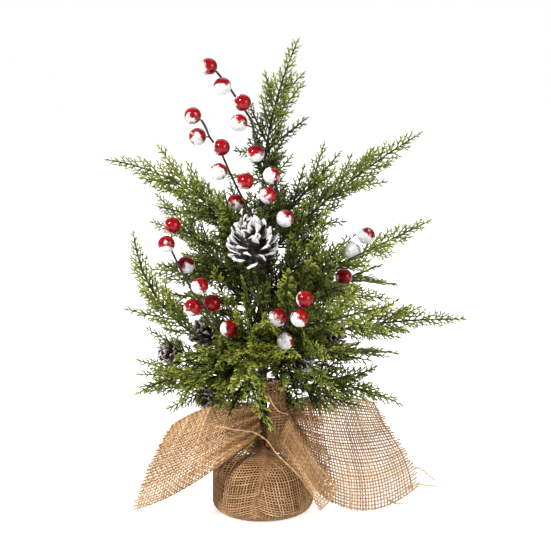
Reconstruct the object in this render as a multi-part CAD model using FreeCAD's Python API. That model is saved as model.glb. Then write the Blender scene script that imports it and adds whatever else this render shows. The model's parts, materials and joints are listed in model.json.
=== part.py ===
"""Artificial tabletop cedar tree in a burlap-wrapped base.

A weighted plug is wrapped in a square of burlap that is gathered round the trunk and tied with a
wire tie, so its corners hang as tails. A taped trunk stands in the plug. Each foliage branch is a
wire with a moulded cedar spray on it, bound to the trunk at a root where it can be bent. Berry
picks are bound on in the same way, and pine cones sit on short stiff wires.

Millimetres, +Z up. The origin is on the table, under the middle of the base. -Y is the front.
"""
import FreeCAD
import Part
import math
import os
from FreeCAD import Vector

# ---------------------------------------------------------------- driving dimensions
POUCH_RADIUS = 42.0         # outside of the burlap round the base
POUCH_CORNER = 9.0          # round between the wall and the flat underside
WALL_TOP = 33.0             # where the pouch's wall starts to lean in
SHOULDER_RADIUS = 21.0
SHOULDER_END = 52.0         # degrees round the shoulder where the slope to the neck starts
CLOTH = 1.2                 # thickness of a burlap layer
NECK_HEIGHT = 65.0          # where the tie pulls the cloth in
NECK_RADIUS = 9.0
RUFF_HEIGHT = 86.0          # top of the gathered cloth above the tie
RUFF_RADIUS = 20.0
PLUG_GAP = 0.3              # between the cloth and the plug it covers
TRUNK_GAP = 0.3             # between the gathered cloth and the trunk

TRUNK_FOOT_Z = 12.0
TRUNK_FOOT_RADIUS = 4.4
TRUNK_TOP_Z = 262.0
TRUNK_TOP_RADIUS = 2.4
SOCKET_GAP = 0.15           # between a root ball and the stub that carries it
STUB_RADIUS = 1.5
STUB_LENGTH = 2.4           # how far a stub stands out of the trunk

WIRE_RADIUS = 0.8
BALL_RADIUS = 1.7
WIRE_SHARE = 0.62           # share of a branch that has the wire inside
SPRAY_START = 0.17          # where the moulded spray begins, as a share of the branch
SPRAY_ROOT_RADIUS = 1.7
SPRAY_TIP_RADIUS = 0.75
TWIG_ROOT_RADIUS = 1.0
TWIG_TIP_RADIUS = 0.7
TWIG_ANGLE = math.radians(48)
TWIG_SPACING = 8.5
TWIG_LENGTH = 23.0
SHORTEST_TWIG = 6.0
TWIG_ROLL = 0.4             # turns a twig's flats off its neighbours', so that none lie in one plane
CLEAR = 0.6                 # least gap between pieces that move apart

BERRY_RADIUS = 6.9
PICK_RADIUS = 0.9
PEDICEL_RADIUS = 0.6
CONE_WIRE_RADIUS = 0.9

# Branches: root height on the trunk, a point halfway, the tip, the way the flat spray faces,
# and side shoots as (share along the branch, tip).
SIDE = Vector(0, 1, 0)
FLAT = Vector(0, 0, 1)
BRANCHES = {
    "leader": (264, (6, 0, 318), (29, 0, 391), SIDE, [(0.12, (36, 16, 327)), (0.1, (-22, 24, 300))]),
    "right_sprig": (232, (36, -12, 272), (62, -25, 304), SIDE, []),
    "right_upper": (212, (66, 20, 270), (131, 35, 313), SIDE, []),
    "right_mid": (180, (70, -20, 217), (133, -40, 252), SIDE, []),
    "right_behind": (168, (66, 42, 186), (115, 70, 178), FLAT, []),
    "right_front": (148, (52, -46, 172), (102, -70, 190), SIDE, []),
    "right_long": (138, (92, 5, 158), (168, 10, 161), SIDE, []),
    "right_low_behind": (118, (66, 50, 124), (119, 82, 114), FLAT, []),
    "right_bottom": (98, (62, -18, 112), (113, -35, 100), SIDE, []),
    "left_upper": (205, (-66, -18, 278), (-122, -30, 299), SIDE, []),
    "left_behind": (178, (-46, 18, 220), (-88, 35, 262), SIDE, [(0.45, (-94, 52, 236))]),
    "left_mid": (130, (-66, -18, 163), (-102, -30, 241), SIDE, []),
    "left_low": (103, (-58, -20, 120), (-101, -37, 110), SIDE, [(0.42, (-104, 12, 126))]),
    "left_sprig": (216, (-22, -23, 246), (-43, -41, 270), SIDE, []),
    "front_drop": (146, (-14, -60, 146), (10, -82, 93), FLAT, []),
    "front_right": (126, (36, -58, 140), (59, -90, 122), FLAT, []),
    "front_left": (118, (-38, -46, 134), (-62, -84, 116), FLAT, []),
    "back_upper": (222, (8, 44, 268), (4, 84, 300), FLAT, [(0.4, (-34, 66, 276))]),
    "back_left": (158, (-40, 58, 196), (-70, 98, 200), FLAT, [(0.4, (-78, 66, 160))]),
    "back_right": (150, (34, 62, 178), (52, 104, 186), FLAT, [(0.4, (10, 96, 150))]),
}

# Berry picks: root height, the stems as points that each follows, and the berries as
# (centre, the stem point it hangs from). The first stem starts at the root.
PICKS = {
    "top": (
        196,
        [
            [(4, -14, 222), (13, -12, 244), (15, -18, 265), (7, -18, 291), (-6, -14, 312),
             (-7, -10, 327), (-17, -6, 341), (-27, -8, 356), (-36, -10, 367)],
            [(4, -14, 222), (-8, -12, 252), (-20, -17, 275), (-28, -17, 293), (-33, -13, 304),
             (-42, -11, 315), (-45, -9, 323), (-48, -9, 328)],
        ],
        [
            ((-42, -10, 371), (-36, -10, 367)), ((-31, -17, 356), (-25, -8, 353)),
            ((-15, -17, 343), (-17, -6, 341)), ((-18, -15, 327), (-8, -11, 323)),
            ((-5, -21, 303), (-3, -15, 307)), ((8, -26, 286), (8, -18, 289)),
            ((5, -31, 271), (14, -18, 267)), ((19, -29, 252), (14, -14, 250)),
            ((-55, -10, 332), (-48, -9, 328)), ((-51, -18, 316), (-42, -11, 315)),
            ((-32, -22, 308), (-33, -13, 304)), ((-34, -25, 289), (-28, -17, 291)),
            ((-13, -24, 281), (-20, -17, 275)), ((-21, -9, 262), (-13, -14, 261)),
        ],
    ),
    "left": (
        140,
        [[(-18, -24, 149), (-34, -36, 164), (-46, -36, 181), (-58, -34, 198), (-66, -34, 214),
          (-72, -36, 228)]],
        [
            ((-71, -33, 247), (-72, -36, 228)), ((-75, -45, 234), (-71, -36, 226)),
            ((-61, -27, 214), (-66, -34, 213)), ((-49, -44, 200), (-58, -34, 198)),
            ((-40, -29, 183), (-46, -36, 181)), ((-55, -40, 182), (-46, -36, 181)),
            ((-26, -43, 165), (-32, -34, 162)),
        ],
    ),
    "centre": (
        132,
        [[(5, -24, 144), (14, -44, 158), (20, -56, 173), (27, -60, 189)]],
        [
            ((34, -61, 193), (27, -60, 189)), ((30, -66, 179), (22, -57, 178)),
            ((13, -55, 177), (20, -56, 173)), ((19, -52, 157), (14, -44, 158)),
        ],
    ),
    "right": (
        160,
        [[(26, 4, 180), (50, 6, 196), (70, 9, 209), (84, 12, 217), (87, 13, 224)]],
        [
            ((86, 13, 231), (87, 13, 224)), ((74, 0, 220), (74, 10, 211)),
            ((67, -1, 199), (64, 8, 205)),
        ],
    ),
}

# Pine cones: radius, height, middle, the way the cone points, and where its wire leaves the trunk.
CONES = {
    "front": (24.5, 40.0, (-8, -47, 236), (-0.15, -0.62, 0.77), 184),
    "left": (18.0, 30.0, (-46, 14, 147), (-0.6, -0.5, 0.6), 134),
    "left_tip": (14.0, 24.0, (-77, 22, 130), (-0.85, -0.3, 0.1), 114),
    "right": (14.0, 24.0, (58, 23, 145), (0.7, -0.5, 0.5), 128),
    "centre": (13.0, 22.0, (32, -13, 131), (0.7, -0.6, 0.3), 119),
    "low_left": (16.0, 27.0, (-43, 13, 94), (-0.8, -0.35, -0.25), 92),
}
CONE_TIERS = 7
WIRE_BOUND = 1.5            # how deep a cone's wire is bound into the trunk

# Burlap tails: four corners and the middle control point of each edge, in the order
# knot-top, far-top, far-bottom, knot-bottom; then top, far, bottom and knot edges; then how far
# the middle stands out along the sheet's normal.
TAILS = {
    "left": (
        [(-8, -12, 82), (-75, -24, 79), (-108, -32, 8), (-7, -15, 72)],
        [(-42, -17, 103), (-98, -26, 46), (-58, -56, 26), (-8, -14, 77)], 7.0),
    "right": (
        [(7, -15, 77), (97, 14, 88), (133, -6, 24), (44, -40, 25)],
        [(56, -2, 102), (118, 4, 58), (76, -26, -8), (26, -48, 56)], 9.0),
    "tuft": (
        [(-2, -17, 78), (1, -25, 113), (22, -25, 118), (13, -13, 79)],
        [(-4, -27, 97), (12, -27, 121), (26, -25, 97), (6, -17, 78)], 7.0),
    "back": (
        [(-9, 15, 79), (-62, 74, 70), (-4, 118, 9), (42, 72, 40)],
        [(-30, 46, 96), (-46, 106, 42), (28, 104, 18), (28, 44, 72)], 8.0),
}
TAIL_STEPS = 8
TAIL_ROOM = 5.0             # kept clear round each point of a tail

# How far a branch or a pick bends at its root, down and up.
BEND_DOWN = math.radians(8)
BEND_UP = math.radians(8)
BEND_STEPS = 6


# ---------------------------------------------------------------- shapes
def unit(v):
    return v / v.Length


def across(v):
    """A direction square to v."""
    helper = Vector(0, 0, 1) if abs(v.z) < 0.9 * v.Length else Vector(1, 0, 0)
    return unit(v.cross(helper))


def facets_solid(triples):
    """A closed solid over flat three-cornered faces, leaving out any with no area."""
    faces = []
    for a, b, c in triples:
        if (b - a).cross(c - a).Length > 1e-6:
            faces.append(Part.Face(Part.makePolygon([a, b, c, a])))
    solid = Part.Solid(Part.Shell(faces))
    if solid.Volume < 0:
        solid.reverse()
    return solid


def strip(row, following, closed=False):
    """The triangles between two rows of points."""
    triples = []
    for i in range(len(row) if closed else len(row) - 1):
        j = (i + 1) % len(row)
        triples += [(row[i], row[j], following[j]), (row[i], following[j], following[i])]
    return triples


def limb(points, radii, sides, roll=0.0):
    """A tapering faceted rod along points, with a radius at each."""
    rings = []
    side = across(points[1] - points[0])
    for i, (point, radius) in enumerate(zip(points, radii)):
        along = unit(points[min(i + 1, len(points) - 1)] - points[max(i - 1, 0)])
        side = unit(side - along * side.dot(along))
        other = along.cross(side)
        turns = [roll + 2 * math.pi * k / sides for k in range(sides)]
        rings.append([point + side * (radius * math.cos(t)) + other * (radius * math.sin(t)) for t in turns])
    triples = []
    for ring, following in zip(rings, rings[1:]):
        triples += strip(ring, following, closed=True)
    for ring, middle in ((rings[0], points[0]), (rings[-1], points[-1])):
        triples += [(ring[i - 1], ring[i], middle) for i in range(sides)]
    return facets_solid(triples)


def rounded_path(points):
    """Straight runs joined by tangent arcs, each as large as its two runs allow."""
    edges, start = [], points[0]
    for before, corner, after in zip(points, points[1:], points[2:]):
        back, on = unit(before - corner), unit(after - corner)
        half = back.getAngle(on) / 2
        reach = 0.45 * min((before - corner).Length, (after - corner).Length)
        middle = unit(back + on) * (reach / math.cos(half) * (1 - math.sin(half)))
        a, b = corner + back * reach, corner + on * reach
        edges.append(Part.LineSegment(start, a).toShape())
        edges.append(Part.Arc(a, corner + middle, b).toShape())
        start = b
    edges.append(Part.LineSegment(start, points[-1]).toShape())
    return Part.Wire(edges)


def round_bar(path, start, along, radius):
    """A round wire swept along a path."""
    circle = Part.Wire(Part.Circle(start, along, radius).toShape())
    return path.makePipeShell([circle], True, False)


def lathe(outline):
    """Turns a closed outline of (radius, height) points round the Z axis."""
    points = [Vector(r, 0, z) for r, z in outline]
    return Part.Face(Part.makePolygon(points + points[:1])).revolve(Vector(0, 0, 0), Vector(0, 0, 1), 360)


def arc_points(centre, radius, start, end, steps):
    """Points (radius, height) on a round of an outline, angles in degrees."""
    angles = [math.radians(start + (end - start) * i / steps) for i in range(steps + 1)]
    return [(centre[0] + radius * math.cos(a), centre[1] + radius * math.sin(a)) for a in angles]


def placed(shape, origin, pointing):
    """Moves a shape made about +Z so that it stands at origin and points along pointing."""
    turn = FreeCAD.Rotation(Vector(0, 0, 1), unit(pointing))
    shape = shape.copy()
    shape.Placement = FreeCAD.Placement(origin, turn)
    return shape


def trunk_radius(z):
    share = (z - TRUNK_FOOT_Z) / (TRUNK_TOP_Z - TRUNK_FOOT_Z)
    return TRUNK_FOOT_RADIUS + (TRUNK_TOP_RADIUS - TRUNK_FOOT_RADIUS) * share


def root_of(height, towards):
    """The middle of a root ball on the trunk's outside, and the way its wire leaves."""
    axis_point = Vector(0, 0, min(height, TRUNK_TOP_Z))
    way = unit(towards - axis_point)
    level = math.hypot(way.x, way.y)
    if height > TRUNK_TOP_Z:
        out = 0.0
    else:
        out = trunk_radius(height) / level
    return axis_point + way * (out + STUB_LENGTH + SOCKET_GAP + BALL_RADIUS), way


def bend_axis(way):
    """The level axis that a root turns about, so that a positive turn lifts the branch."""
    level = Vector(way.x, way.y, 0)
    if level.Length < 0.2:
        level = Vector(1, 0, 0)
    return unit(level).cross(Vector(0, 0, 1))


# ---------------------------------------------------------------- room for each moving piece
def segment_gap(a, b, c, d):
    """The least distance between the segments ab and cd, each end as three numbers."""
    ux, uy, uz = b[0] - a[0], b[1] - a[1], b[2] - a[2]
    vx, vy, vz = d[0] - c[0], d[1] - c[1], d[2] - c[2]
    wx, wy, wz = a[0] - c[0], a[1] - c[1], a[2] - c[2]
    uu, uv, vv = ux * ux + uy * uy + uz * uz, ux * vx + uy * vy + uz * vz, vx * vx + vy * vy + vz * vz
    uw, vw = ux * wx + uy * wy + uz * wz, vx * wx + vy * wy + vz * wz
    det = uu * vv - uv * uv
    s = min(1.0, max(0.0, (uv * vw - vv * uw) / det)) if det > 1e-9 else 0.0
    t = min(1.0, max(0.0, (uv * s + vw) / vv)) if vv > 1e-9 else 0.0
    s = min(1.0, max(0.0, (uv * t - uw) / uu)) if uu > 1e-9 else 0.0
    return math.sqrt((wx + s * ux - t * vx) ** 2 + (wy + s * uy - t * vy) ** 2 + (wz + s * uz - t * vz) ** 2)


class Body:
    """The rods and balls of one rigid body, kept at each bend of its root."""

    def __init__(self, pivot=None, axis=None):
        self.bends = [0.0]
        if pivot is not None:
            span = BEND_DOWN + BEND_UP
            self.bends += [-BEND_DOWN + span * i / BEND_STEPS for i in range(BEND_STEPS + 1)]
        self.pivot, self.axis, self.rods = pivot, axis, []

    def rod(self, a, b, radius):
        """The rod's radius, its two ends at each bend, its middle at rest, and how far out of there it ever gets."""
        ends = []
        for bend in self.bends:
            turn = FreeCAD.Rotation(self.axis, math.degrees(bend)) if bend else None
            moved = [self.pivot + turn.multVec(p - self.pivot) if bend else p for p in (a, b)]
            ends.append([(p.x, p.y, p.z) for p in moved])
        middle = (a + b) / 2
        middle = (middle.x, middle.y, middle.z)
        return radius, ends, middle, max(math.dist(middle, end) for pair in ends for end in pair)

    def add(self, a, b, radius):
        self.rods.append(self.rod(a, b, radius))

    def takes(self, a, b, radius, others):
        """True if a new rod of this body stays clear of the other bodies at every bend."""
        mine = self.rod(a, b, radius)
        last = len(self.bends) - 1
        for other in others:
            other_last = len(other.bends) - 1
            pairs = [(i, 0) for i in range(last + 1)] + [(0, j) for j in range(1, other_last + 1)]
            if last and other_last:
                pairs += [(1, 1), (last, other_last)]
            for theirs in other.rods:
                need = radius + theirs[0] + CLEAR
                if math.dist(mine[2], theirs[2]) > mine[3] + theirs[3] + need:
                    continue
                if any(segment_gap(*mine[1][i], *theirs[1][j]) < need for i, j in pairs):
                    return False
        return True


# ---------------------------------------------------------------- base and burlap
def pouch_outline(grow):
    """Outline of the wrapped base from under its rim to the shoulder, moved out by grow."""
    rim = arc_points((POUCH_RADIUS - POUCH_CORNER, POUCH_CORNER), POUCH_CORNER + grow, -90, 0, 5)
    shoulder = arc_points((POUCH_RADIUS - SHOULDER_RADIUS, WALL_TOP), SHOULDER_RADIUS + grow, 0, SHOULDER_END, 5)
    return rim + shoulder


def burlap_pouch():
    """The cloth over the plug, drawn in at the neck, and the gathered bundle above the tie."""
    neck = [(NECK_RADIUS, NECK_HEIGHT - 2), (NECK_RADIUS, NECK_HEIGHT + 2)]
    bundle = [(0.8 * RUFF_RADIUS, NECK_HEIGHT + 8), (RUFF_RADIUS, NECK_HEIGHT + 14), (0.85 * RUFF_RADIUS, RUFF_HEIGHT)]
    skin = lathe([(0, 0)] + pouch_outline(0) + neck + bundle + [(0, RUFF_HEIGHT - 4)])
    inner = pouch_outline(-CLOTH)
    hollow = lathe([(0, CLOTH)] + inner + [(NECK_RADIUS - CLOTH, NECK_HEIGHT - 5), (0, NECK_HEIGHT - 5)])
    bore = Part.makeCylinder(trunk_radius(WALL_TOP) + TRUNK_GAP, RUFF_HEIGHT, Vector(0, 0, WALL_TOP))
    return skin.cut([hollow, bore])


def burlap_wrap():
    """One square of burlap: the pouch with the four corners that hang or stand from the neck."""
    return burlap_pouch().fuse([burlap_tail(*spec) for spec in TAILS.values()])


def base_weight():
    """The cast plug, with the trunk's foot set in it."""
    outline = [(0, CLOTH + PLUG_GAP)] + pouch_outline(-CLOTH - PLUG_GAP)[:-2]
    top = outline[-1][1]
    plug = lathe(outline + [(0, top)])
    bore = Part.makeCone(TRUNK_FOOT_RADIUS, trunk_radius(top), top - TRUNK_FOOT_Z, Vector(0, 0, TRUNK_FOOT_Z))
    return plug.cut(bore)


def trunk(roots):
    """The taped trunk with a short stub at each root. roots are (ball middle, way out)."""
    length = TRUNK_TOP_Z - TRUNK_FOOT_Z
    core = Part.makeCone(TRUNK_FOOT_RADIUS, TRUNK_TOP_RADIUS, length, Vector(0, 0, TRUNK_FOOT_Z))
    stubs = []
    for ball, way in roots:
        end = ball - way * (BALL_RADIUS + SOCKET_GAP)
        inner = end - way * (STUB_LENGTH + 3.0)
        stubs.append(Part.makeCylinder(STUB_RADIUS, (end - inner).Length, inner, way))
    return core.fuse(stubs)


def tie():
    """A twisted wire tie: a ring in the neck's waist and two short ends at the front left."""
    ring = Part.makeTorus(NECK_RADIUS + 1.6, 1.2, Vector(0, 0, NECK_HEIGHT))
    parts = [ring]
    for lift, spread in ((3.0, -6.0), (-2.0, -4.0)):
        start = Vector(-6.0, -NECK_RADIUS, NECK_HEIGHT)
        end = start + Vector(spread, -7.0, lift)
        parts.append(Part.makeCylinder(0.8, (end - start).Length, start, end - start))
    return parts[0].fuse(parts[1:])


def bezier(a, b, c, t):
    return a * ((1 - t) ** 2) + b * (2 * t * (1 - t)) + c * (t * t)


def sheet_point(corners, edges, u, v):
    """A point of the smooth sheet over four curved edges: u runs out from the knot, v from the top edge down."""
    knot_top, far_top, far_bottom, knot_bottom = corners
    top, far, bottom, knot = edges
    rows = bezier(knot_top, top, far_top, u) * (1 - v) + bezier(knot_bottom, bottom, far_bottom, u) * v
    columns = bezier(knot_top, knot, knot_bottom, v) * (1 - u) + bezier(far_top, far, far_bottom, v) * u
    flat = (knot_top * (1 - v) + knot_bottom * v) * (1 - u) + (far_top * (1 - v) + far_bottom * v) * u
    return rows + columns - flat


def burlap_tail(corners, edges, bulge):
    corners, edges = [Vector(*p) for p in corners], [Vector(*p) for p in edges]
    steps = range(TAIL_STEPS + 1)
    out = unit((corners[1] - corners[3]).cross(corners[2] - corners[0]))
    if out.y > 0 and corners[2].y < 50:
        out = out * -1
    front, back = [], []
    for i in steps:
        u = i / TAIL_STEPS
        middle = []
        for j in steps:
            v = j / TAIL_STEPS
            lift = bulge * math.sin(math.pi * v) * math.sin(math.pi * min(1.0, 0.15 + 0.75 * u))
            middle.append(sheet_point(corners, edges, u, v) + out * lift)
        front.append([p + out * (CLOTH / 2) for p in middle])
        back.append([p - out * (CLOTH / 2) for p in middle])
    triples = strip(front[0], back[0]) + strip(front[-1], back[-1])
    for i in range(TAIL_STEPS):
        triples += strip(front[i], front[i + 1]) + strip(back[i], back[i + 1])
    for j in (0, -1):
        triples += strip([row[j] for row in front], [row[j] for row in back])
    return facets_solid(triples)


# ---------------------------------------------------------------- cones, picks and branches
def pine_cone(radius, height, middle, pointing, wire_height):
    """A cone of stacked scale tiers, its short wire, and the wire's points."""
    middle, pointing = Vector(*middle), unit(Vector(*pointing))
    outline = [(0, 0), (0.3 * radius, 0)]
    for tier in range(CONE_TIERS):
        low, high = (tier + 0.15) / CONE_TIERS, (tier + 0.75) / CONE_TIERS
        bulge = math.sin(math.pi * (0.12 + 0.74 * (tier + 0.5) / CONE_TIERS)) ** 0.7
        outline += [(0.55 * radius * bulge, height * low), (radius * bulge, height * high)]
    outline.append((0, height))
    base = middle - pointing * (height / 2)
    cone = placed(lathe(outline), base, pointing)
    out = Vector(base.x, base.y, 0)
    start = Vector(0, 0, wire_height) + unit(out) * (trunk_radius(wire_height) - WIRE_BOUND)
    points = [start, base - pointing * max(9.0, 0.3 * out.Length), base]
    return cone, round_bar(rounded_path(points), start, points[1] - start, CONE_WIRE_RADIUS), points


def berry_pick(root, way, stems, berries):
    """The forked wire stem and the berries on it."""
    bars = [Part.makeSphere(BALL_RADIUS, root)]
    for i, stem in enumerate(stems):
        points = [root] * (i == 0) + [Vector(*p) for p in stem]
        bars.append(round_bar(rounded_path(points), points[0], points[1] - points[0], PICK_RADIUS))
    balls = []
    for centre, hold in berries:
        centre, hold = Vector(*centre), Vector(*hold)
        bars.append(Part.makeCylinder(PEDICEL_RADIUS, (centre - hold).Length - BERRY_RADIUS + 1.5, hold, centre - hold))
        balls.append(Part.makeSphere(BERRY_RADIUS, centre))
    return bars[0].fuse(bars[1:]), Part.makeCompound(balls)


def branch_line(root, middle, tip):
    """A function that gives the point and direction at a share along the arc, and the arc's length."""
    edge = Part.Arc(root, Vector(*middle), Vector(*tip)).toShape()
    length = edge.Length

    def at(share):
        parameter = edge.getParameterByLength(share * length)
        return edge.valueAt(parameter), unit(edge.tangentAt(parameter))

    return at, length


def twigs_along(at, length, start, facing, reach):
    """Rods to both sides of a stem, in turn, shorter towards its two ends."""
    found = []
    count = int(length * (0.97 - start) / TWIG_SPACING)
    for i in range(count):
        share = start + (0.97 - start) * (i + 0.5) / count
        point, along = at(share)
        side = unit(along.cross(facing)) * (-1) ** i
        size = reach * min(1.0, 0.55 + 1.6 * (share - start)) * min(1.0, 0.28 + 1.5 * (1 - share))
        found.append((point, point + (along * math.cos(TWIG_ANGLE) + side * math.sin(TWIG_ANGLE)) * size))
    return found


def grow_branch(root, middle, tip, facing, shoots, body, others):
    """The wire with its root ball, and the moulded spray with every twig that has room to move."""
    at, length = branch_line(root, middle, tip)
    wire_line = Part.Arc(at(0)[0], at(WIRE_SHARE / 2)[0], at(WIRE_SHARE)[0]).toShape()
    bar = round_bar(Part.Wire([wire_line]), at(0)[0], at(0)[1], WIRE_RADIUS)
    wire = Part.makeSphere(BALL_RADIUS, root).fuse(bar)

    steps = 7
    shares = [SPRAY_START + (1 - SPRAY_START) * i / steps for i in range(steps + 1)]
    radii = [SPRAY_ROOT_RADIUS + (SPRAY_TIP_RADIUS - SPRAY_ROOT_RADIUS) * i / steps for i in range(steps + 1)]
    rods = [limb([at(s)[0] for s in shares], radii, 6)]

    def place(twigs):
        for start, end in twigs:
            while (end - start).Length > SHORTEST_TWIG and not body.takes(start, end, TWIG_ROOT_RADIUS, others):
                end = start + (end - start) * 0.7
            if (end - start).Length > SHORTEST_TWIG:
                rods.append(limb([start, end], [TWIG_ROOT_RADIUS, TWIG_TIP_RADIUS], 4, TWIG_ROLL))
                body.add(start, end, TWIG_ROOT_RADIUS)

    for share, shoot_tip in shoots:
        start, end = at(share + SPRAY_START)[0], Vector(*shoot_tip)
        along, size = unit(end - start), (end - start).Length
        rods.append(limb([start, end], [TWIG_ROOT_RADIUS, TWIG_TIP_RADIUS], 5, TWIG_ROLL))
        body.add(start, end, TWIG_ROOT_RADIUS)
        place(twigs_along(lambda s: (start + along * (size * s), along), size, 0.2, facing, 0.7 * TWIG_LENGTH))
    place(twigs_along(at, length, SPRAY_START + 0.06, facing, TWIG_LENGTH))
    return wire, rods[0].fuse(rods[1:])


def export(name, shape):
    solids = shape.Solids
    good = all(s.isValid() and s.isClosed() for s in solids)
    print(f"{name}: {len(solids)} solids, {sum(s.Volume for s in solids):.0f} mm3{'' if good else ', NOT VALID'}")
    (solids[0] if len(solids) == 1 else Part.makeCompound(solids)).exportStep(f"parts/{name}.step")


def main():
    os.makedirs("parts", exist_ok=True)

    fixed = Body()
    for z in range(0, int(TRUNK_TOP_Z), 10):
        fixed.add(Vector(0, 0, z), Vector(0, 0, min(z + 10, TRUNK_TOP_Z)), trunk_radius(z))
    fixed.add(Vector(0, 0, 20), Vector(0, 0, NECK_HEIGHT), RUFF_RADIUS)
    for corners, edges, bulge in TAILS.values():
        for corner in burlap_tail(corners, edges, bulge).Vertexes:
            fixed.add(corner.Point, corner.Point, TAIL_ROOM)
    cone_wires = []
    for name, spec in CONES.items():
        radius, height, middle, pointing, _ = spec
        cone, wire, points = pine_cone(*spec)
        export("pine_cone_" + name, cone)
        cone_wires.append(wire)
        lean = unit(Vector(*pointing)) * (0.5 * height - 0.6 * radius)
        fixed.add(Vector(*middle) - lean, Vector(*middle) + lean, radius)
        for a, b in zip(points, points[1:]):
            fixed.add(a, b, CONE_WIRE_RADIUS)

    roots, bodies = [], {}
    for name, (height, stems, berries) in PICKS.items():
        root, way = root_of(height, Vector(*stems[0][0]))
        roots.append((root, way))
        stem, balls = berry_pick(root, way, stems, berries)
        export(f"berry_stem_{name}", stem)
        export(f"berries_{name}", balls)
        body = bodies[name] = Body(root, bend_axis(way))
        for points in stems:
            points = [root] + [Vector(*p) for p in points]
            for a, b in zip(points, points[1:]):
                body.add(a, b, PICK_RADIUS)
        for centre, hold in berries:
            body.add(Vector(*hold), Vector(*centre), PEDICEL_RADIUS)
            body.add(Vector(*centre), Vector(*centre), BERRY_RADIUS)

    ready = {}
    for name, (height, middle, tip, facing, shoots) in BRANCHES.items():
        root, way = root_of(height, Vector(*middle))
        roots.append((root, way))
        body = bodies[name] = Body(root, bend_axis(way))
        at, _ = branch_line(root, middle, tip)
        shares = [i / 8 for i in range(9)]
        for a, b in zip(shares, shares[1:]):
            body.add(at(a)[0], at(b)[0], SPRAY_ROOT_RADIUS if b > SPRAY_START else BALL_RADIUS)
        ready[name] = (root, middle, tip, facing, shoots, body)
    for name, spec in ready.items():
        others = [fixed] + [b for n, b in bodies.items() if n != name]
        wire, spray = grow_branch(*spec, others)
        export("wire_" + name, wire)
        export("spray_" + name, spray)

    export("trunk", trunk(roots))
    export("base_weight", base_weight())
    export("burlap_wrap", burlap_wrap())
    export("cone_wires", Part.makeCompound(cone_wires))
    export("twist_tie", tie())
    for name, body in bodies.items():
        print(f"{name}: pivot {[round(c, 3) for c in body.pivot]}, axis {[round(c, 5) for c in body.axis]}")


main()
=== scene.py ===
"""Artificial tabletop cedar tree in a burlap-wrapped base: what is seen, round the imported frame.

Shapes are worked out in millimetres, +Z up, with the front towards -Y, and turned into metres when a
mesh is made. Everything random is drawn from seeded generators, so each run gives the same tree.
"""
import functools
import json
import math

import bpy
import numpy as np
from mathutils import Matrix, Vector, noise


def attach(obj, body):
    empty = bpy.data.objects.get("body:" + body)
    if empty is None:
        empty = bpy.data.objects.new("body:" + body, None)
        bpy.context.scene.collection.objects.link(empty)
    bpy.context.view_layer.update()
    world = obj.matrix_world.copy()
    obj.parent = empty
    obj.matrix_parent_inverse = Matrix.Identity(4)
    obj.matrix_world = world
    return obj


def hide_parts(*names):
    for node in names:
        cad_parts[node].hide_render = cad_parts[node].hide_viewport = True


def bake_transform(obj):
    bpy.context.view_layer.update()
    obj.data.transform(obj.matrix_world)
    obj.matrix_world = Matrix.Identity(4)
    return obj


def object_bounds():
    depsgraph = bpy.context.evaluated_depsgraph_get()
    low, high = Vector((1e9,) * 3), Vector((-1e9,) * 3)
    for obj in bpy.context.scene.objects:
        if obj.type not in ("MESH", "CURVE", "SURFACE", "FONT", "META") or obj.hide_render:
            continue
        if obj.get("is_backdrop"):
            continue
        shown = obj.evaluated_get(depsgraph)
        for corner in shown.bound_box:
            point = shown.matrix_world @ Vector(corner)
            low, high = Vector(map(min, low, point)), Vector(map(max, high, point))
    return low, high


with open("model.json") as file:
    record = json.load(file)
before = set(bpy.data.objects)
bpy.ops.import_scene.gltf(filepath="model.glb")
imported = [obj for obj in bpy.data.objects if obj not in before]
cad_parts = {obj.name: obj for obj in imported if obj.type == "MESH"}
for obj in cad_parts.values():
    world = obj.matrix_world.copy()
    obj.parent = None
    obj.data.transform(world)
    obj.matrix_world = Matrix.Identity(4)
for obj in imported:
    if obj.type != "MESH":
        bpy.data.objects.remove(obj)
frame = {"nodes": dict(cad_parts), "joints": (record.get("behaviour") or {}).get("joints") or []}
cad_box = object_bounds()

# ---- driving dimensions, mm
MM = 0.001
BASE_BODY = "base_and_trunk"
GOLDEN_ANGLE = math.radians(137.508)

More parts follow.
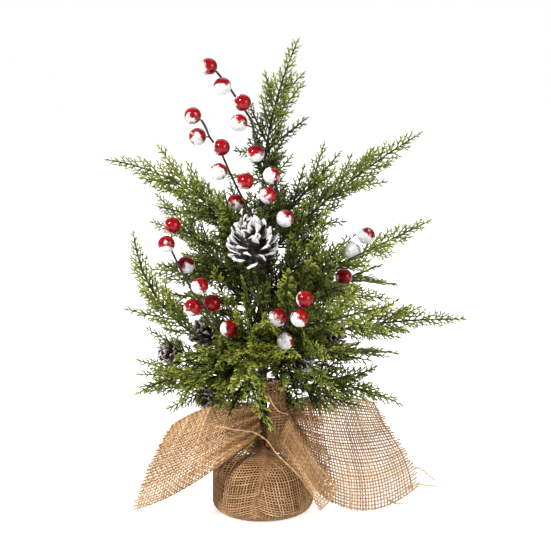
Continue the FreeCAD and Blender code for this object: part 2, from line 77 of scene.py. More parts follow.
# Foliage branches: a point halfway, the tip, the way the flat of the spray faces, how yellow its
# green is, and side shoots as (share along the branch, tip). Each starts at its joint.
SIDE, FLAT = (0, 1, 0), (0, 0, 1)
BRANCHES = {
    "leader": ((6, 0, 318), (29, 0, 391), SIDE, 0.2,
               [(0.29, (36, 16, 327)), (0.27, (-22, 24, 300))]),
    "right_sprig": ((36, -12, 272), (62, -25, 304), SIDE, 0.35, []),
    "right_upper": ((66, 20, 270), (131, 35, 313), SIDE, 0.2, [(0.04, (27, -14, 250))]),
    "right_mid": ((70, -20, 217), (133, -40, 252), SIDE, 0.3,
                  [(0.05, (30, -36, 234)), (0.04, (-6, -28, 212))]),
    "right_behind": ((66, 42, 186), (115, 70, 178), FLAT, 0.1, []),
    "right_front": ((52, -46, 172), (102, -70, 190), SIDE, 0.5, [(0.06, (22, -42, 212))]),
    "right_long": ((92, 5, 158), (168, 10, 161), SIDE, 0.2, [(0.04, (0, -34, 160))]),
    "right_low_behind": ((66, 50, 124), (119, 82, 114), FLAT, 0.05, [(0.05, (14, 24, 144))]),
    "right_bottom": ((62, -18, 112), (113, -35, 100), SIDE, 0.1, [(0.05, (34, -22, 92))]),
    "left_upper": ((-66, -18, 278), (-122, -30, 299), SIDE, 0.35,
                   [(0.08, (-24, -8, 272)), (0.03, (-8, -34, 196))]),
    "left_behind": ((-46, 18, 220), (-88, 35, 262), SIDE, 0.2,
                    [(0.62, (-94, 52, 236)), (0.06, (-34, -10, 240))]),
    "left_mid": ((-66, -18, 163), (-102, -30, 241), SIDE, 0.5,
                 [(0.08, (-38, -30, 212)), (0.1, (-22, -34, 184)), (0.06, (4, -32, 200))]),
    "left_low": ((-58, -20, 120), (-101, -37, 110), SIDE, 0.3,
                 [(0.59, (-104, 12, 126)), (0.05, (-30, -20, 90))]),
    "left_sprig": ((-22, -23, 246), (-43, -41, 270), SIDE, 0.4, []),
    "front_drop": ((-14, -60, 146), (10, -82, 93), FLAT, 0.6,
                   [(0.1, (-16, -40, 206)), (0.06, (6, -36, 200))]),
    "front_right": ((36, -58, 140), (59, -90, 122), FLAT, 0.2,
                    [(0.3, (30, -66, 108)), (0.08, (12, -40, 150)), (0.06, (27, -42, 97)),
                     (0.05, (16, -28, 114)), (0.05, (2, -44, 122))]),
    "front_left": ((-38, -46, 134), (-62, -84, 116), FLAT, 0.3,
                   [(0.1, (-2, -40, 104)), (0.3, (-34, -70, 104)), (0.08, (-27, -42, 93)),
                    (0.08, (-12, -40, 100))]),
    "back_upper": ((8, 44, 268), (4, 84, 300), FLAT, 0.2,
                   [(0.57, (-34, 66, 276)), (0.1, (18, 30, 258)), (0.1, (24, 22, 232))]),
    "back_left": ((-40, 58, 196), (-70, 98, 200), FLAT, 0.3,
                  [(0.57, (-78, 66, 160)), (0.1, (-24, 32, 216))]),
    "back_right": ((34, 62, 178), (52, 104, 186), FLAT, 0.2,
                   [(0.57, (10, 96, 150)), (0.1, (26, 34, 212)), (0.1, (8, 30, 200))]),
}
STEM_POINTS = 60  # along a branch
WIRE_POINTS = 26  # how many of them the taped wire reaches
SPRAY_START = 0.1  # where foliage begins, as a share of the branch
STEM_RADII = (1.2, 0.6)  # main stem at its root and tip
SHOOT_RADII = (0.95, 0.65)
FROND_RADII = (0.85, 0.55)
TWIG_RADII = (0.7, 0.5)
TWIG_STEP = 2.7  # along a stem, the sides in turn
TWIG_REACH = 22.0  # the longest twig
TIP_REACH = 5.0  # the twigs at the tip of a stem
REACH_SLOPE = 0.24  # how much longer twigs grow for each mm back from the tip
TWIGLET_STEP = 2.4
TWIGLET_LENGTH = 5.6
TWIGLET_RADIUS = 0.5
TWIGLET_SHAPES = 14
LEAF_STEP = 1.5  # from one scale leaf to the next along a shoot
TWIG_ANGLE = math.radians(43)
TWIGLET_ANGLE = math.radians(42)
SIDE_FROND_STEP = 9.0  # along the outer part of a branch, for its longer side shoots
SIDE_FROND_LENGTH = 34.0
INNER_FRONDS = 10  # bushy shoots near the trunk, leaning up and to the front
INNER_FROND_LENGTH = 70.0
INNER_LEAN = np.array([0.0, -0.35, 0.3])
FROND_TURN = 2.4  # round the stem from one side shoot to the next
LOWEST_LEAN = -0.2  # how far down a side shoot may point
WIRE_RADIUS = 1.05

BERRY_RADIUS = 6.9
SNOW_DEPTH = 0.45
BERRY_SNOW = {"top": -0.05, "left": 0.0, "centre": 0.1, "right": 0.45}  # how snowy each pick is

# Pine cones: radius, height, middle and the way the cone points.
CONES = {
    "front": (24.5, 40.0, (-8, -47, 236), (-0.12, -0.25, 0.96)),
    "left": (18.0, 30.0, (-46, 14, 147), (-0.6, -0.5, 0.6)),
    "left_tip": (14.0, 24.0, (-77, 22, 130), (-0.85, -0.3, 0.1)),
    "right": (14.0, 24.0, (58, 23, 145), (0.7, -0.5, 0.5)),
    "centre": (13.0, 22.0, (32, -13, 131), (0.7, -0.6, 0.3)),
    "low_left": (16.0, 27.0, (-43, 13, 94), (-0.8, -0.35, -0.25)),
}
CONE_SCALES = 58
BIG_CONE = 20.0  # a cone of a larger radius is darker, with snow towards its top; a smaller one is painted lighter, partly its own browner colour and partly painted light against the shade it sits in among the foliage
CORE_SHARE = (0.36, 0.46)  # a cone's core, as shares of its radius and height
# How much of each cone and of the roll shows from the front, as a share of its radius.
OPEN_SHARE = {"front": 0.95}
OTHER_OPEN_SHARE, ROLL_OPEN_SHARE = 0.4, 0.45
BERRY_OPENING = 6.0  # radius of the way kept open in front of a berry
TRUNK_CLEAR = 6  # radius round the trunk that twigs stay out of
CLEARED_DEPTH, CLEARED_STEP = 56, 6  # how far to the front the way is open, and its balls' spacing
TO_FRONT = np.array([0.0, -0.98, 0.19])

# Burlap: one square, gathered at the neck. The pouch is its middle, the tails are its corners.
PITCH = 2.35  # from thread to thread
CLOSE_PITCH = 2.05  # where the cloth is drawn together
THREAD_WIDE = 0.48  # half width of a flattened thread in the pouch
TAIL_THREAD_WIDE = 0.6
THREAD_THICK = 0.38
THREAD_SIDES = 5
FRINGE = 5.0  # how far in from a frayed edge the weave is loose
TUCKED = 4.0  # how far the pouch's threads run on inside a tuck
KNOT, KNOT_SHADE = np.array([4.0, -18.0, 72.0]), 0.42  # painted shade: the yarn is painted darker near the knot, for the shade of the gathered folds
POUCH_RADIUS, POUCH_CORNER = 42.0, 9.0
WALL_TOP, SHOULDER_RADIUS, SHOULDER_END = 33.0, 21.0, 52.0
NECK_HEIGHT, NECK_RADIUS, RUFF_RADIUS = 65.0, 9.0, 20.0
CLOTH_TURN = math.radians(37)  # how far the square is turned on the base
# Where the pouch's cloth is tucked, as angles round the base, and how far the front tuck leans to
# the right as it rises.
TUCKS = tuple(math.radians(a) for a in (-99, 30, 165))
TUCK_LEAN = math.radians(22)
# Tails: corners (knot top, far top, far bottom, knot bottom), the middle control point of each edge
# (top, far, bottom, knot), how far the middle stands out, and how closely it is gathered at the knot.
TAILS = {
    "left": (
        [(-2, -20, 96), (-75, -24, 79), (-108, -32, 8), (0, -24, 75)],
        [(-38, -20, 104), (-98, -26, 46), (-58, -56, 29), (-4, -24, 84)], 7.0, 22.0),
    "right": (
        [(9, -14, 94), (97, 14, 88), (133, -6, 24), (14, -20, 66)],
        [(50, -2, 106), (118, 4, 58), (66, -46, -25), (12, -18, 80)], 9.0, 24.0),
    "strip": (
        [(21, -20, 92), (64, -38, 30), (47, -47, 14), (5, -23, 64)],
        [(31, -38, 72), (54, -46, 18), (28, -42, 50), (13, -27, 80)], 7.0, 5.0),
    "back": (
        [(-9, 15, 79), (-62, 74, 70), (-4, 118, 9), (42, 72, 40)],
        [(-30, 46, 96), (-46, 106, 42), (28, 104, 18), (28, 44, 72)], 8.0, 24.0),
}
# How much lighter each tail is, and the half width of its threads. The strip's is painted light, to lift it
# above the painted shade near the knot and the darker cloth behind it.
TAIL_LOOKS = {"left": (0.06, 0.64), "right": (0.12, 0.64), "strip": (0.15, 0.57), "back": (-0.1, 0.64)}
RIGHT_FOLD = 0.42  # the share of the right tail that is double, next to the knot
LAYER_GAP = 4.0  # from a tail's top edge to the layer behind it
# The corner rolled up in front of the neck: places along its middle, and its radius at each.
ROLL = [((7, -19, 60), 4.0), ((11, -24, 69), 6.5), ((13, -27, 79), 8.8), ((14, -27, 90), 8.8),
        ((11.5, -25, 99), 7.5), ((11, -24, 106), 9.0), ((10, -24, 118), 11.5)]
# Loose yarns: across the knot, down the roll, and off the right tail's corner.
YARNS = [
    [(-39, -40, 84), (-22, -41, 81), (-6, -38, 78), (4, -37, 71), (13, -41, 59), (24, -46, 50),
     (33, -48, 41)],
    [(5, -33, 108), (9, -35, 100), (14, -35, 94), (22, -32, 91)],
    [(124, -8, 40), (134, -7, 36), (141, -8, 30), (145, -8, 27)],
    [(116, -12, 20), (128, -9, 24), (139, -8, 23), (146, -8, 22)],
    [(103, -17, 14), (112, -15, 9), (118, -14, 9)],
]
YARN_RADIUS = 0.62

TRUNK_FOOT, TRUNK_TOP = (12.0, 4.4), (262.0, 2.4)  # (height, radius)
TRUNK_SIDES = 26
TAPE_TURN, TAPE_LAP = 8.5, 0.35  # how far the tape climbs in a turn, and how thick its edge is
PLUG_RADIUS, PLUG_BOTTOM, PLUG_HEIGHT = 38.6, 2.2, 37.0
PLUG_POWER = 6.0  # a higher power gives the plug a sharper rim
TIE_WIRE_RADIUS, TIE_END_RADIUS, TIE_TWIST = 0.5, 0.7, 0.55
TIE_TWISTS = 16  # of its two wires in one turn round the neck
TIE_ARC = (math.radians(-118), math.radians(238))

# Studio, in metres and watts: each soft light's place, size and power.
LIGHTS = {
    "key": ((-1.15, -1.1, 1.5), 0.4, 58),
    "fill": ((1.3, -1.0, 0.8), 1.0, 16),
    "wash": ((0, 1.9, 2.4), 3.0, 34),
}
LIT_POINT = Vector((0, 0, 0.18))
VIEW_TARGET, VIEW_DISTANCE, VIEW_ELEVATION = Vector((0.011, 0, 0.2)), 1.35, math.radians(11)
LENS, SENSOR = 107.6, 36.0  # mm
FLOOR_SEEN, FLOOR_CAST = 0.7, 0.2
BACKDROP_SEEN, BACKDROP_CAST = 1.0, 0.3


# ---- shapes
def unit(v):
    v = np.asarray(v, float)
    return v / np.maximum(np.linalg.norm(v, axis=-1, keepdims=True), 1e-12)


def smooth(x, low, high):
    t = np.clip((x - low) / (high - low), 0, 1)
    return t * t * (3 - 2 * t)


def rotated(a, b, angle):
    """Two coordinates, turned by an angle from the first towards the second."""
    return a * math.cos(angle) - b * math.sin(angle), a * math.sin(angle) + b * math.cos(angle)


def round_axis(radius, angle, height):
    """Points round the Z axis."""
    return np.stack([radius * np.cos(angle), radius * np.sin(angle), height], -1)


def places_on(path, along, d):
    """The places at d on a path whose points are at the distances along it."""
    return np.stack([np.interp(d, along, path[:, k]) for k in range(3)], -1)


def distances(path):
    """How far along a path each of its points is."""
    return np.concatenate([[0], np.cumsum(np.linalg.norm(np.diff(path, axis=0), axis=1))])


def curve_through(a, b, c, shares):
    """Points at shares along the circle's arc from a through b to c, and the arc's length."""
    a, b, c = (np.asarray(p, float) for p in (a, b, c))
    ab, ac = b - a, c - a
    normal = np.cross(ab, ac)
    size = normal @ normal
    centre = a + (np.cross(normal, ab) * (ac @ ac) - np.cross(normal, ac) * (ab @ ab)) / (2 * size)
    x = a - centre
    radius = np.linalg.norm(x)
    x = x / radius
    y = np.cross(unit(normal), x)
    end = math.atan2((c - centre) @ y, (c - centre) @ x) % (2 * math.pi)
    turn = np.asarray(shares, float)[:, None] * end
    return centre + radius * (np.cos(turn) * x + np.sin(turn) * y), radius * end


def fbm(points, size, seed=0.0, octaves=3):
    """Fractal noise from about -1 to 1 at each point, with lumps of the given size."""
    shift = Vector((seed, seed * 1.7, -seed))
    return np.array([noise.fractal(Vector(p) / size + shift, 1.0, 2.0, octaves) for p in points])


def islands(node):
    """The middle of each separate solid of a CAD node, in mm, from low to high."""
    mesh = frame["nodes"][node].data
    points = np.empty(len(mesh.vertices) * 3)
    mesh.vertices.foreach_get("co", points)
    points = points.reshape(-1, 3) / MM
    edges = np.array([edge.vertices for edge in mesh.edges])
    label = np.arange(len(points))
    while True:
        low = np.minimum(label[edges[:, 0]], label[edges[:, 1]])
        after = label.copy()
        for side in (0, 1):
            np.minimum.at(after, edges[:, side], low)
        if (after == label).all():
            break
        label = after
    solids = [points[label == k] for k in np.unique(label)]
    middles = [(solid.min(0) + solid.max(0)) / 2 for solid in solids]
    return sorted(middles, key=lambda p: tuple(np.round(p[::-1], 3)))


# ---- mesh making
class Builder:
    """Gathers points, faces and named values for each point, and makes one mesh object of them."""

    def __init__(self, name):
        self.name, self.points, self.faces, self.count = name, [], [], 0
        self.values = {}

    def add(self, points, faces, **values):
        points = np.asarray(points, float)
        self.points.append(points)
        self.faces.extend([tuple(i + self.count for i in face) for face in faces])
        for key, value in values.items():
            value = np.broadcast_to(np.asarray(value, float), (len(points),))
            self.values.setdefault(key, []).append(value)
        self.count += len(points)

    def build(self, material, slot):
        """Makes the object. The slot is not used."""
        mesh = bpy.data.meshes.new(self.name)
        mesh.from_pydata((np.concatenate(self.points) * MM).tolist(), [], self.faces)
        for key, parts in self.values.items():
            layer = mesh.attributes.new(key, "FLOAT", "POINT")
            layer.data.foreach_set("value", np.concatenate(parts).astype(np.float32))
        mesh.polygons.foreach_set("use_smooth", [True] * len(mesh.polygons))
        mesh.materials.append(material)
        made = bpy.data.objects.new(self.name, mesh)
        bpy.context.scene.collection.objects.link(made)
        return made

    def stand_for(self, node, material, slot, body=BASE_BODY):
        """Makes the object, rides it on a body and puts it in a CAD node's place."""
        made = self.build(material, slot)
        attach(made, body)
        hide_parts(node)


def neighbours(count):
    """Each place round a ring with the next one."""
    return [(j, (j + 1) % count) for j in range(count)]


@functools.cache
def tube_faces(rings, sides):
    """Faces of a closed tube: rings of points, then one point for each cap."""
    faces = []
    for row in range(0, (rings - 1) * sides, sides):
        faces += [(row + j, row + k, row + sides + k, row + sides + j) for j, k in neighbours(sides)]
    first, last = rings * sides, rings * sides + 1
    for j, k in neighbours(sides):
        faces.append((k, j, first))
        faces.append((last - 1 - sides + j, last - 1 - sides + k, last))
    return faces


def tube(path, radius, sides=6, up=None, flat=1.0):
    """Points and faces of a tube. Each ring is flat times as thick along up as it is wide."""
    path = np.asarray(path, float)
    along = unit(np.gradient(path, axis=0))
    if up is None:
        helper = np.array([0, 0, 1.0]) if abs(along[:, 2]).max() < 0.9 else np.array([1.0, 0.3, 0])
        up = np.broadcast_to(helper, path.shape)
    side = unit(np.cross(along, up))
    up = np.cross(side, along)
    turn = 2 * np.pi * (np.arange(sides) + 0.5) / sides
    radius = np.broadcast_to(np.asarray(radius, float), (len(path),))[:, None, None]
    across, rise = np.cos(turn)[None, :, None], np.sin(turn)[None, :, None]
    ring = across * side[:, None] + flat * rise * up[:, None]
    points = (path[:, None] + radius * ring).reshape(-1, 3)
    return np.vstack([points, path[:1], path[-1:]]), tube_faces(len(path), sides)


def ball_grid(rings, segments):
    """Unit directions and faces of a ball with its poles on Z."""
    polar = np.linspace(0, np.pi, rings + 1)[1:-1]
    turn = 2 * np.pi * np.arange(segments) / segments
    points = [(math.sin(p) * math.cos(t), math.sin(p) * math.sin(t), math.cos(p))
              for p in polar for t in turn]
    top, bottom, last = len(points), len(points) + 1, len(points) - segments
    points += [(0, 0, 1), (0, 0, -1)]
    faces = []
    for row in range(0, last, segments):
        faces += [(row + j, row + segments + j, row + segments + k, row + k)
                  for j, k in neighbours(segments)]
    for j, k in neighbours(segments):
        faces.append((j, k, top))
        faces.append((last + k, last + j, bottom))
    return np.array(points), faces


# ---- materials
class Look:
    """The nodes of a material, or of the world, and the shader that they end in."""

    def __init__(self, owner, shader="Principled BSDF"):
        owner.use_nodes = True
        self.owner, self.nodes, self.links = owner, owner.node_tree.nodes, owner.node_tree.links
        self.shader = self.nodes[shader]

    def feed(self, node, inputs):
        """Links each input to another node's output, or sets it to a plain number or colour."""
        for name, value in inputs.items():
            socket = node.inputs[name]
            if isinstance(value, bpy.types.NodeSocket):
                self.links.new(value, socket)
            else:
                socket.default_value = (*value, 1) if socket.type == "RGBA" else value

    def shade(self, inputs):
        self.feed(self.shader, inputs)

    def node(self, kind, inputs, output=0, **settings):
        """Adds a node and gives one of its outputs."""
        node = self.nodes.new("ShaderNode" + kind)
        for name, value in settings.items():
            setattr(node, name, value)
        self.feed(node, inputs)
        return node.outputs[output]

    def value(self, name):
        """A named value of the mesh's points."""
        return self.node("Attribute", {}, "Fac", attribute_name=name)

    def noise(self, scale, detail=4.0, roughness=0.6):
        """Noise over the row frame, scale in lumps for each metre."""
        where = self.node("TexCoord", {}, "Object")
        inputs = {"Vector": where, "Scale": scale, "Detail": detail, "Roughness": roughness}
        return self.node("TexNoise", inputs, "Fac")

    def mix(self, share, a, b, kind="MIX"):
        inputs = {"Factor": share, "A": a, "B": b}
        return self.node("Mix", inputs, "Result", data_type="RGBA", blend_type=kind)

    def ramp(self, source, stops):
        """A colour ramp over (place, colour) stops."""
        node = self.nodes.new("ShaderNodeValToRGB")
        elements = node.color_ramp.elements
        while len(elements) < len(stops):
            elements.new(0.5)
        for element, (place, colour) in zip(elements, stops):
            element.position, element.color = place, (*colour, 1)
        self.feed(node, {"Fac": source})
        return node.outputs["Color"]

    def bump(self, source, distance, strength):
        inputs = {"Height": source, "Distance": distance, "Strength": strength}
        self.shade({"Normal": self.node("Bump", inputs, "Normal")})

    def seen_or_cast(self, seen, cast):
        """The brightness of a backdrop as it is seen, against the light that it casts on the object."""
        is_seen = self.node("LightPath", {}, "Is Camera Ray")
        return self.node("MapRange", {"Value": is_seen, "To Min": cast, "To Max": seen})


def new_look(name):
    return Look(bpy.data.materials.new(name))


def foliage_material():
    look = new_look("cedar_foliage")
    green = look.ramp(look.value("tone"), [
        (0.0, (0.009, 0.013, 0.002)), (0.3, (0.043, 0.06, 0.007)), (0.6, (0.155, 0.19, 0.022)),
        (1.0, (0.52, 0.55, 0.09))])
    dark = look.mix(1.0, green, (0.72, 0.72, 0.62), "MULTIPLY")
    look.shade({
        "Base Color": look.mix(look.noise(260.0), dark, green), "Roughness": 0.5,
        "Specular IOR Level": 0.22, "Subsurface Weight": 0.08,
        "Subsurface Radius": (0.0012, 0.0016, 0.0006)})
    look.bump(look.noise(1900.0, 2.0), 0.0002, 0.6)
    return look.owner


def tape_material(name, colour):
    """Floral tape round a wire."""
    look = new_look(name)
    light = tuple(2.1 * c for c in colour)
    look.shade({"Base Color": look.mix(look.noise(500.0, 5.0), colour, light), "Roughness": 0.7})
    look.bump(look.noise(1500.0, 3.0), 0.0003, 0.7)
    return look.owner


def snow_over(look, under, roughness):
    """Paints rough white where the snow value is high, and the colour under it elsewhere."""
    grain = look.node("Math", {0: look.noise(1300.0, 8.0, 0.75), 1: 2.1, 2: -1.08},
                      operation="MULTIPLY_ADD")
    edge = look.node("Math", {0: look.value("snow"), 1: grain}, operation="ADD")
    cover = look.node("MapRange", {"Value": edge, "From Min": 0.3, "From Max": 0.85},
                      interpolation_type="SMOOTHSTEP")
    white = look.ramp(look.noise(420.0), [(0.3, (0.52, 0.51, 0.51)), (0.6, (0.76, 0.75, 0.74))])
    rough = look.node("MapRange", {"Value": cover, "To Min": roughness, "To Max": 0.9})
    look.shade({"Base Color": look.mix(cover, under, white), "Roughness": rough})
    height = look.node("Math", {0: cover, 1: look.noise(1600.0, 3.0)}, operation="MULTIPLY")
    look.bump(height, 0.0006, 0.8)


def berry_material():
    look = new_look("snowy_berry")
    red = look.ramp(look.noise(150.0), [
        (0.3, (0.08, 0.0, 0.002)), (0.5, (0.23, 0.0, 0.003)), (0.7, (0.36, 0.0, 0.003))])
    snow_over(look, red, 0.12)
    look.shade({"Specular IOR Level": 0.35})
    return look.owner


def cone_material():
    look = new_look("snowy_cone")
    brown = look.ramp(look.value("tone"), [
        (0.0, (0.008, 0.004, 0.004)), (0.45, (0.03, 0.014, 0.011)), (1.0, (0.34, 0.15, 0.075))])
    snow_over(look, look.mix(look.noise(700.0, 6.0), brown, (0.02, 0.01, 0.009)), 0.6)
    return look.owner


def burlap_material():
    look = new_look("jute_burlap")
    jute = look.ramp(look.value("tone"), [
        (0.0, (0.17, 0.068, 0.024)), (0.4, (0.37, 0.18, 0.074)), (0.75, (0.6, 0.38, 0.2)),
        (1.0, (0.84, 0.64, 0.42))])
    dull = look.mix(1.0, jute, (0.55, 0.46, 0.38), "MULTIPLY")
    warm = look.mix(0.3, jute, (0.85, 0.56, 0.28))
    look.shade({
        "Base Color": look.mix(look.noise(1100.0, 6.0, 0.7), dull, warm), "Roughness": 0.9,
        "Specular IOR Level": 0.1})
    look.bump(look.noise(2600.0, 4.0, 0.7), 0.0005, 0.9)
    return look.owner


def gold_material():
    look = new_look("gold_tie")
    gold = look.mix(look.noise(600.0), (0.75, 0.5, 0.07), (0.95, 0.74, 0.2))
    look.shade({"Base Color": gold, "Metallic": 0.8, "Roughness": 0.38})
    return look.owner


def cement_material():
    look = new_look("cast_cement")
    # Painted shade: the plug is painted a near-black brown, darker than plain cement, for the shade that
    # shows through the weave.
    plug_painted_shade = look.ramp(look.noise(120.0, 8.0, 0.7), [
        (0.3, (0.008, 0.003, 0.0015)), (0.7, (0.03, 0.014, 0.007))])
    look.shade({"Base Color": plug_painted_shade, "Roughness": 0.9})
    look.bump(look.noise(900.0, 8.0, 0.8), 0.001, 0.8)
    return look.owner


# ---- foliage
def scaly(count, length, start_radius, end_radius):
    """Radii of a shoot of overlapping scale leaves with a narrow tip."""
    share = np.linspace(0, 1, count)
    leaf = (share * length / LEAF_STEP) % 1.0
    radii = (start_radius + (end_radius - start_radius) * share) * (1 + 0.24 * (leaf - 0.5))
    radii[-1] *= 0.35
    return radii


def twiglet_shape(rng):
    """One small shoot along +Z from the origin, with spiky nubs to both sides in the XZ plane."""
    parts = Builder("twiglet")
    length = TWIGLET_LENGTH
    bend, lean = rng.normal(0, 0.08), rng.normal(0, 0.05)
    share = np.linspace(0, 1, 6)
    path = np.stack([bend * length * share ** 2, lean * length * share ** 2, length * share], 1)
    radii = scaly(6, length, TWIGLET_RADIUS, 0.8 * TWIGLET_RADIUS)
    parts.add(*tube(path, radii, 5), reach=np.append(np.repeat(share, 5), [0, 1]))
    for i in range(int(rng.integers(1, 4))):
        at = 0.2 + 0.22 * i + rng.normal(0, 0.03)
        start = np.array([bend * length * at ** 2, 0, length * at])
        angle = (-1) ** i * rng.uniform(0.5, 0.8)
        way = np.array([math.sin(angle), rng.normal(0, 0.2), math.cos(angle)])
        nub = (2.5 - 1.3 * at) * rng.uniform(0.75, 1.2)
        share = np.linspace(0, 1, 3)
        radii = np.array([0.85, 0.8, 0.4]) * TWIGLET_RADIUS
        reach = np.append(np.repeat(at + (1 - at) * share, 4), [at, 1])
        parts.add(*tube(start + share[:, None] * nub * way, radii, 4), reach=reach)
    return np.concatenate(parts.points), parts.faces, np.concatenate(parts.values["reach"])


def cut_at_balls(path, balls):
    """The start of a path, up to the first ball it meets. Balls are rows of x, y, z, radius."""
    gap = np.linalg.norm(path[:, None] - balls[None, :, :3], axis=2)
    inside = (gap < balls[None, :, 3]).any(axis=1)
    return path[:inside.argmax()] if inside.any() else path


class Line:
    """Places and directions at distances along a path."""

    def __init__(self, path):
        self.path, self.along = path, distances(path)
        self.length = self.along[-1]

    def at(self, d):
        return places_on(self.path, self.along, d)

    def way(self, d):
        return unit(self.at(min(self.length, d + 1.5)) - self.at(max(0.0, d - 1.5)))


class Spray:
    """The moulded foliage of one branch."""

    def __init__(self, name, root, yellow, rng, shapes, balls):
        self.mesh = Builder(name)
        self.root, self.yellow, self.rng, self.shapes, self.balls = root, yellow, rng, shapes, balls

    def tone(self, reach, origin):
        """Brighter and yellower away from the branch's root, and towards each shoot's own tip. The darker
        tone near the root is painted shade inside the tree.
        """
        far = smooth(np.linalg.norm(origin - self.root), 8, 105)
        base = 0.04 + 0.34 * far + 0.18 * self.yellow + self.rng.normal(0, 0.09)
        return np.clip(base + 0.4 * np.asarray(reach), 0, 1)

    def stem(self, line, radii, sides, reach):
        """A scaly stem along a line."""
        points, faces = tube(line.path, scaly(len(line.path), line.length, *radii), sides)
        self.mesh.add(points, faces, tone=self.tone(reach, line.path[0]))

    def side_places(self, line, start, span, count, jitter, facing):
        """Places for side shoots, the sides in turn: the distance, the line's way and the way out."""
        for i in range(count):
            d = line.length * (start + span * (i + self.rng.uniform(*jitter)) / count)
            way = line.way(d)
            yield d, way, unit(np.cross(way, facing)) * (-1) ** i

    def twiglet(self, origin, way, facing, size):
        line = origin + way * size * TWIGLET_LENGTH * np.array([[0.3], [0.7], [1.0]])
        if len(cut_at_balls(line, self.balls)) < 3:
            return
        points, faces, reach = self.shapes[int(self.rng.integers(len(self.shapes)))]
        side = unit(np.cross(facing, way))
        turn = np.stack([side, np.cross(way, side), way], 1)
        stretched = points * np.array([0.4 + 0.6 * size, 1.0, size])
        self.mesh.add(stretched @ turn.T + origin, faces, tone=self.tone(reach, origin))

    def shoot(self, path, radii, facing):
        """A thin stem with twiglets to both sides, shorter towards its tip."""
        rng = self.rng
        line = Line(path)
        self.stem(line, radii, 5, 0.1)
        count = max(1, int(line.length / TWIGLET_STEP))
        for d, way, side in self.side_places(line, 0.1, 0.86, count, (0.2, 0.8), facing):
            lean = unit(side + facing * rng.normal(0, 0.45))
            angle = TWIGLET_ANGLE * rng.uniform(0.75, 1.25)
            size = rng.uniform(0.7, 1.15) * min(1.0, 0.5 + (line.length - d) / 9.0)
            out = unit(way * math.cos(angle) + lean * math.sin(angle))
            self.twiglet(line.at(d), out, facing, size)
        end = unit(path[-1] - path[-2])
        self.twiglet(path[-1] - 0.4 * end, end, facing, 0.7)

    def twig(self, start, way, side, facing, length):
        """A side twig that starts out to one side and curves towards the branch's own direction."""
        share = np.linspace(0, 1, max(4, int(length / 2.2)))[:, None]
        angle = TWIG_ANGLE * self.rng.uniform(0.8, 1.2)
        out = unit(side + facing * self.rng.normal(0, 0.4))
        path = start + length * (way * (math.cos(angle) * share + 0.12 * share ** 2)
                                 + out * (math.sin(angle) * share - 0.14 * share ** 2))
        path = path + np.array([0, 0, 1.0]) * (self.rng.normal(0.02, 0.06) * length * share ** 2)
        path = cut_at_balls(path, self.balls)
        if len(path) > 3:
            self.shoot(path, TWIG_RADII, facing)

    def frond(self, path, radii, facing, reach, start=0.0):
        """A stem with twigs to both sides. They are short at the tip and longer further back."""
        rng = self.rng
        whole = Line(path)
        line = Line(whole.at(np.linspace(0, whole.length - 0.6 * TIP_REACH, len(path))))
        self.stem(line, radii, 6, 0.0)
        count = int(line.length * (1 - start) / TWIG_STEP)
        for d, way, side in self.side_places(line, start, 1 - start, count, (0.25, 0.75), facing):
            length = min(reach, TIP_REACH + REACH_SLOPE * (line.length - d)) * rng.uniform(0.75, 1.2)
            if length < 1.3 * TWIGLET_LENGTH:
                angle = TWIG_ANGLE * rng.uniform(0.75, 1.1)
                lean = unit(side + facing * rng.normal(0, 0.4))
                out = unit(way * math.cos(angle) + lean * math.sin(angle))
                self.twiglet(line.at(d), out, facing, length / TWIGLET_LENGTH)
            else:
                self.twig(line.at(d), way, side, facing, length - TWIGLET_LENGTH / 2)
        end = line.way(line.length)
        last = np.array([line.path[-1] + end * k for k in (0, 0.35, 0.7, 1.0)])
        self.shoot(last, (radii[1], 0.5), facing)
        self.twiglet(last[-1], end, facing, 0.9)


def facing_for(way, wanted):
    """The wanted facing, made square to the stem."""
    wanted = np.asarray(wanted, float)
    flat = wanted - way * (wanted @ way)
    if np.linalg.norm(flat) < 0.2:
        flat = np.cross(way, [1.0, 0, 0])
    return unit(flat)


def kept_clear():
    """Balls that the foliage stays out of, as rows of x, y, z, radius: the trunk, the berries, the cones
    and the rolled corner, and room to the front of these, where the sprays are bent aside to show them."""
    shown = [(middle, BERRY_RADIUS + 1.2, BERRY_OPENING) for pick in BERRY_SNOW
             for middle in islands("berries_" + pick)]
    shown += [(middle, radius + 0.5, OPEN_SHARE.get(name, OTHER_OPEN_SHARE) * radius)
              for name, (radius, _, middle, _) in CONES.items()]
    shown += [(place, radius + 1.0, ROLL_OPEN_SHARE * radius) for place, radius in ROLL[4:]]
    balls = [(0, 0, height, TRUNK_CLEAR)
             for height in range(int(NECK_HEIGHT), int(TRUNK_TOP[0]), TRUNK_CLEAR)]
    for middle, radius, opening in shown:
        balls.append((*middle, radius))
        balls += [(*(np.array(middle) + TO_FRONT * (radius + step)), opening)
                  for step in range(0, CLEARED_DEPTH, CLEARED_STEP)]
    return np.array(balls)


